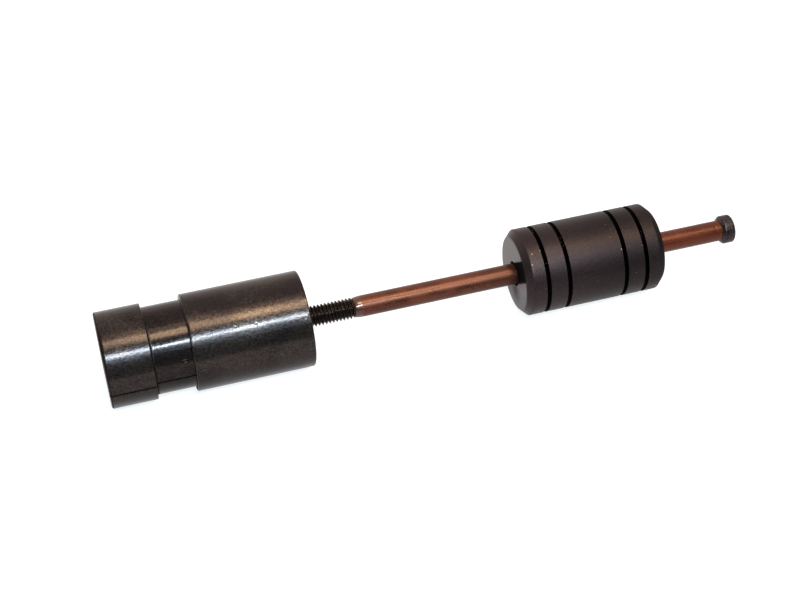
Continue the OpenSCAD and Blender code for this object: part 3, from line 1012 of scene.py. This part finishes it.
# %% Camera
camera_azimuth = math.radians(-16.298)
camera_elevation = math.radians(46.479)
aim_x = 131.77 * MM
camera_distance = 704.7 * MM
aim_drop = 0.954 * MM
back = Vector((math.sin(camera_azimuth) * math.cos(camera_elevation),
               -math.cos(camera_azimuth) * math.cos(camera_elevation),
               math.sin(camera_elevation)))
camera_data = bpy.data.cameras.new("camera")
camera_data.sensor_width, camera_data.lens = 36, 72
camera_data.clip_start, camera_data.clip_end = 0.01, 50
camera = bpy.data.objects.new("camera", camera_data)
bpy.context.scene.collection.objects.link(camera)
camera.rotation_mode = "QUATERNION"
camera.rotation_quaternion = (-back).to_track_quat("-Z", "Y")
camera_up = camera.rotation_quaternion @ Vector((0, 1, 0))
camera.location = AXIS * aim_x + back * camera_distance - camera_up * aim_drop
bpy.context.scene.camera = camera
print("camera at", [round(part, 4) for part in camera.location])

# %% [markdown]
# ## Floor, lights and room
# The floor is a white sheet, overexposed in the picture, so that of the shadow only a thin line is
# left. The steel mirrors it at its true, lower brightness. A long warm light hangs over the tool
# and draws the bronze band along it, a wider, weaker one round it softens the band's edges, and a
# small one further right carries it on to the rod's end. A narrow cold strip just above the camera
# draws the thin white line, and a fainter one beside it widens the line's foot. Both strips have a
# warmer part over the hammer's end, where the line fades. The room is dark in front and pale
# behind, which gives the black band below the line and the brown upper edge.

# %% Floor
floor_gap = 0.02 * MM
FLOOR_SEEN, FLOOR_MIRRORED = (0.3, 0.31, 0.33, 1), (0.26, 0.255, 0.265, 1)
GLOW_SEEN, GLOW_MIRRORED = (0.97, 1, 1, 1), (1, 0.94, 0.93, 1)
GLOW_STRENGTH, MORE_WHERE_SEEN = 0.48, 0.36
floor_bm = bmesh.new()
bmesh.ops.create_grid(floor_bm, x_segments=1, y_segments=1, size=6)
bmesh.ops.translate(floor_bm, verts=floor_bm.verts[:], vec=(0, 0, cad_low.z - floor_gap))
floor_mesh = bpy.data.meshes.new("floor")
floor_bm.to_mesh(floor_mesh)
floor_bm.free()
floor = bpy.data.objects.new("floor", floor_mesh)
bpy.context.scene.collection.objects.link(floor)
floor_paint, tree, floor_shader = start_material("white_floor")
straight = put(tree, "LightPath").outputs["Is Camera Ray"]
set_sockets(tree, floor_shader, {
    "Base Color": blend_colours(tree, straight, FLOOR_MIRRORED, FLOOR_SEEN),
    "Roughness": 0.8, "Specular IOR Level": 0.1,
    "Emission Color": blend_colours(tree, straight, GLOW_MIRRORED, GLOW_SEEN),
    "Emission Strength": plus(tree, GLOW_STRENGTH, times(tree, straight, MORE_WHERE_SEEN))})
dress(floor, floor_paint)
print(f"floor at {(cad_low.z - floor_gap) / MM:.2f} mm")


# %% Lights overhead
def soft_light(name, place, aim, length, width, colour, power, tilt):
    """A rectangular light at a place, facing an aim, with its long side along the tool.

    A tilt in degrees lowers the left end.
    """
    data = bpy.data.lights.new(name, "AREA")
    data.shape = "RECTANGLE"
    data.size, data.size_y = length, width
    data.color, data.energy = colour, power
    light = bpy.data.objects.new(name, data)
    normal = (Vector(place) - Vector(aim)).normalized()
    side = Matrix.Rotation(math.radians(tilt), 3, normal) @ AXIS
    upwards = normal.cross(side).normalized()
    light.matrix_world = Matrix([(side[i], upwards[i], normal[i], place[i]) for i in range(3)]
                                + [(0, 0, 0, 1)])
    bpy.context.scene.collection.objects.link(light)
    print(f"{name}: {length} by {width} m, {power} W")


for name, (x, y, height), length, width, colour, power, tilt in (
        ("overhead", (0.56, -0.34, 3.0), 1.18, 0.78, (1, 0.78, 0.52), 40.5, 12),
        ("overhead_surround", (0.56, -0.2, 3.05), 1.3, 1.9, (1, 0.78, 0.56), 19.0, 0),
        ("overhead_far_end", (1.6, -0.72, 3.0), 0.36, 1.2, (1, 0.72, 0.46), 11.5, 0)):
    soft_light(name, (x, y, height), (x, y, 0), length, width, colour, power, tilt)


# %% Strip lights
STRIP_X = 0.085
FAR_ALONG = 0.235


def strip_light(name, along, length, colour, power, angle, distance, width, tilt=0):
    """A strip that shines on the axis from in front, at an angle in degrees above the floor.

    along shifts it along its own length, so that two strips can make one line.
    """
    turn_up = math.radians(angle)
    from_axis = Vector((0, -math.cos(turn_up), math.sin(turn_up)))
    strip_dir = Matrix.Rotation(math.radians(tilt), 3, from_axis) @ AXIS
    aim = AXIS * STRIP_X + strip_dir * along
    soft_light(name, aim + from_axis * distance, aim, length, width, colour, power, tilt)


flash = {"angle": 53.4, "distance": 0.7, "width": 0.025, "tilt": 17}
glow = {"angle": 43, "distance": 0.72, "width": 0.16}
strip_light("flash", 0, 0.26, (0.66, 0.86, 1), 4.7, **flash)
strip_light("flash_far_end", FAR_ALONG, 0.21, (0.95, 0.9, 0.85), 1.4, **flash)
strip_light("glow", 0, 0.3, (0.42, 0.6, 1), 0.35, **glow)
strip_light("glow_far_end", FAR_ALONG, 0.17, (1, 0.85, 0.75), 0.42, **glow)

# %% Room
DARK_FRONT, PALE_BACK, WHITE = (0.17, 0.18, 0.21, 1), (1.1, 0.93, 0.85, 1), (1, 1, 1, 1)
world = bpy.data.worlds.new("room")
bpy.context.scene.world = world
world.use_nodes = True
tree = world.node_tree
background = tree.nodes["Background"]
direction = put(tree, "TexCoord").outputs["Generated"]
across, depth, _ = put(tree, "SeparateXYZ", sockets={0: direction}).outputs
behind = ramp(tree, depth, -0.05, 0.35)
less_right = ramp(tree, across, 0.28, 0.37, 1.0, 0.6)
room = blend_colours(tree, times(tree, behind, less_right), DARK_FRONT, PALE_BACK)
seen = put(tree, "LightPath").outputs["Is Camera Ray"]
tree.links.new(blend_colours(tree, seen, room, WHITE), background.inputs["Color"])
bpy.context.scene.view_settings.view_transform = "Standard"
print("room:", len(tree.nodes), "nodes")
